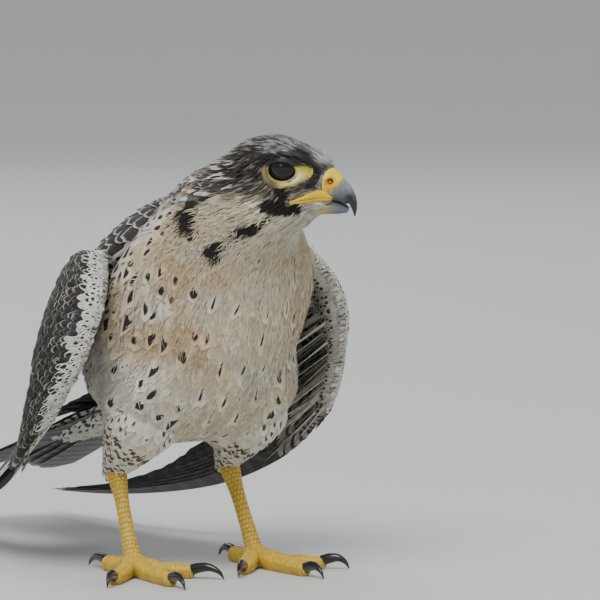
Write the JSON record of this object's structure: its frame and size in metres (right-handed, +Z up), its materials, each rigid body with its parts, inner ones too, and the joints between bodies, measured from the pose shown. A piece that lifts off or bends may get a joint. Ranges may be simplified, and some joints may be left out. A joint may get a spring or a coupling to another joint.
{
  "type": "peregrine falcon",
  "caption": "Life-size peregrine falcon standing on both feet, wings drooped and half open, tail slightly fanned, head turned to its left, with feathers, hooked bill and clawed feet.",
  "frame": {"origin": "middle of the outer box in plan, at floor level under the feet", "axes": "+Z up; the body faces -Y and the tail points to +Y; +X is the bird's left side"},
  "size_m": [0.1848, 0.3692, 0.2365],
  "materials": {
    "plumage_breast": "soft cream feathers with dark marks",
    "plumage_crown": "dark slate feathers",
    "plumage_neck": "cream feathers with dark streaks",
    "plumage_wing": "blackish feathers with pale edges",
    "plumage_tail": "grey feathers with dark bars",
    "bare_skin": "yellow scaly skin",
    "horn": "polished dark horn",
    "eye": "wet and glossy"
  },
  "bodies": {
    "root": {"torso": "plumage_breast", "neck": "plumage_neck", "head": "plumage_crown", "eye_left": "eye", "eye_right": "eye", "cere": "bare_skin", "bill_upper": "horn", "bill_lower": "horn", "tail": "plumage_tail", "wing_left_arm": "plumage_wing", "wing_left_hand": "plumage_wing", "thigh_left": "plumage_breast", "foot_left": "bare_skin", "tarsus_left": "bare_skin", "claw_left_inner": "horn", "claw_left_middle": "horn", "claw_left_outer": "horn", "claw_left_hind": "horn", "wing_right_arm": "plumage_wing", "wing_right_hand": "plumage_wing", "thigh_right": "plumage_breast", "foot_right": "bare_skin", "tarsus_right": "bare_skin", "claw_right_inner": "horn", "claw_right_middle": "horn", "claw_right_outer": "horn", "claw_right_hind": "horn"}
  },
  "joints": []
}
